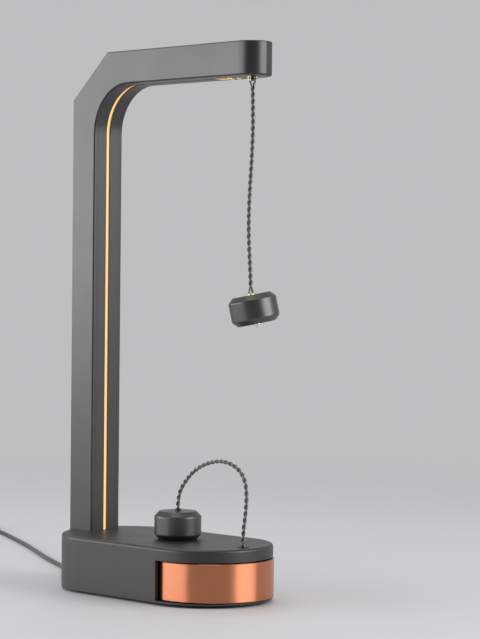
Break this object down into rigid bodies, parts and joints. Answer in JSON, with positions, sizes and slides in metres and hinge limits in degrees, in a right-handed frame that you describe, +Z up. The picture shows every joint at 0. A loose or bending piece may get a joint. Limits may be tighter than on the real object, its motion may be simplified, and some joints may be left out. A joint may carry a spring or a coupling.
{
  "type": "magnetic balance lamp",
  "caption": "Desk lamp with a lit column and arm; a weight hangs from the arm and a second on a cord is lifted towards it to pull the switch; a copper wheel in the base dims it.",
  "frame": {"origin": "on the table under the middle of the lamp from its back to its hanging weight, with the power lead and the cords left out", "axes": "+X from the column towards the dimmer wheel, +Y to the left seen from the column, +Z up"},
  "size_m": [0.5148, 0.2089, 0.36],
  "materials": {
    "base_black": "matte black powder coat",
    "frame_black": "matte black anodised look",
    "weight_black": "satin black",
    "cover_plastic": "moulded black",
    "switch_plastic": "moulded dark grey",
    "button_red": "moulded red",
    "rubber_black": "soft matte",
    "lead_rubber": "smooth sheath",
    "copper": "polished copper",
    "brass": "polished",
    "steel": "plain",
    "pale_metal": "bright",
    "circuit_board": "solder mask",
    "diffuser": "milky, lit warm",
    "led_board": "white flexible board",
    "twisted_cord": "two twisted strands"
  },
  "bodies": {
    "root": {"base_housing": "base_black", "base_bottom_cover": "cover_plastic", "bottom_cover_screws": "steel", "rubber_feet": "rubber_black", "ballast_plate": "steel", "ballast_screws": "steel", "dimmer_potentiometer": "switch_plastic", "control_board": "circuit_board", "board_screws": "steel", "cord_eyelet": "pale_metal", "pull_switch_guide": "cover_plastic", "guide_cap": "cover_plastic", "pull_spring": "steel", "microswitch_body": "switch_plastic", "column_frame": "frame_black", "channel_insert": "frame_black", "light_diffuser": "diffuser", "led_strip": "led_board", "insert_screws": "brass", "column_screws": "steel", "cord_studs": "brass", "cord_bush": "rubber_black", "power_strain_relief": "rubber_black", "power_cord": "lead_rubber", "power_cord_coil": "lead_rubber", "power_cord_tail": "lead_rubber", "power_plug_body": "rubber_black", "power_plug_shell": "pale_metal", "power_plug_tongue": "switch_plastic"},
    "dimmer_wheel": {"dimmer_ring": "copper", "dimmer_carrier": "cover_plastic", "potentiometer_shaft": "steel"},
    "pull_plunger": {"pull_plunger": "switch_plastic", "lower_cord_0": "twisted_cord"},
    "switch_button": {"microswitch_button": "button_red"},
    "cord_bend_1": {"lower_cord_1": "twisted_cord"},
    "cord_bend_2": {"lower_cord_2": "twisted_cord"},
    "lower_weight": {"lower_cord_3": "twisted_cord", "lower_weight_shell": "weight_black", "lower_weight_magnet": "pale_metal", "lower_weight_cap": "weight_black", "lower_weight_ferrule": "brass"},
    "upper_swivel": {"swivel_bead": "steel"},
    "hanging_cord": {"upper_cord": "twisted_cord"},
    "upper_weight": {"upper_weight_shell": "weight_black", "upper_weight_magnet": "pale_metal", "upper_weight_cap": "weight_black", "upper_weight_ferrule": "brass", "upper_weight_screw": "pale_metal"}
  },
  "joints": [
    {"name": "dimmer_turn", "type": "hinge", "parent": "root", "child": "dimmer_wheel", "pos_m": [0.03711, 0, 0.0158], "axis": [0, 0, 1], "range_deg": [-135, 135]},
    {"name": "switch_pull", "type": "slide", "parent": "root", "child": "pull_plunger", "axis": [0, 0, 1], "range_m": [0, 0.0016], "stiffness_N_per_m": 300, "springref_m": -0.001, "deforming": ["pull_spring"]},
    {"name": "button_press", "type": "slide", "parent": "root", "child": "switch_button", "axis": [0, 0, 1], "range_m": [0, 0.0016]},
    {"name": "cord_unbend_1", "type": "hinge", "parent": "pull_plunger", "child": "cord_bend_1", "pos_m": [0.0649, 0, 0.07961], "axis": [0, 1, 0], "range_deg": [0, 56.01], "deforming": ["lower_cord_1", "lower_cord_2", "lower_cord_3"]},
    {"name": "cord_unbend_2", "type": "hinge", "parent": "cord_bend_1", "child": "cord_bend_2", "pos_m": [0.0494, 0, 0.08734], "axis": [0, 1, 0], "range_deg": [0, 50.01], "deforming": ["lower_cord_1", "lower_cord_2", "lower_cord_3"]},
    {"name": "lower_weight_lift", "type": "hinge", "parent": "cord_bend_2", "child": "lower_weight", "pos_m": [0.01232, 0, 0.0752], "axis": [0, 1, 0], "range_deg": [0, 74], "deforming": ["lower_cord_1", "lower_cord_2", "lower_cord_3"]},
    {"name": "side_swing", "type": "hinge", "parent": "root", "child": "upper_swivel", "pos_m": [0.07006, 0, 0.3364], "axis": [1, 0, 0], "range_deg": [-25, 25]},
    {"name": "fore_aft_swing", "type": "hinge", "parent": "upper_swivel", "child": "hanging_cord", "pos_m": [0.07006, 0, 0.3364], "axis": [0, 1, 0], "range_deg": [-25, 25]},
    {"name": "weight_tilt", "type": "hinge", "parent": "hanging_cord", "child": "upper_weight", "pos_m": [0.07067, 0, 0.1988], "axis": [0, 1, 0], "range_deg": [-12, 12]}
  ],
  "couplings": [
    {"joint": "button_press", "follows": "switch_pull", "ratio": 1},
    {"joint": "cord_unbend_1", "follows": "lower_weight_lift", "ratio": 0.75676},
    {"joint": "cord_unbend_2", "follows": "lower_weight_lift", "ratio": 0.67568}
  ]
}
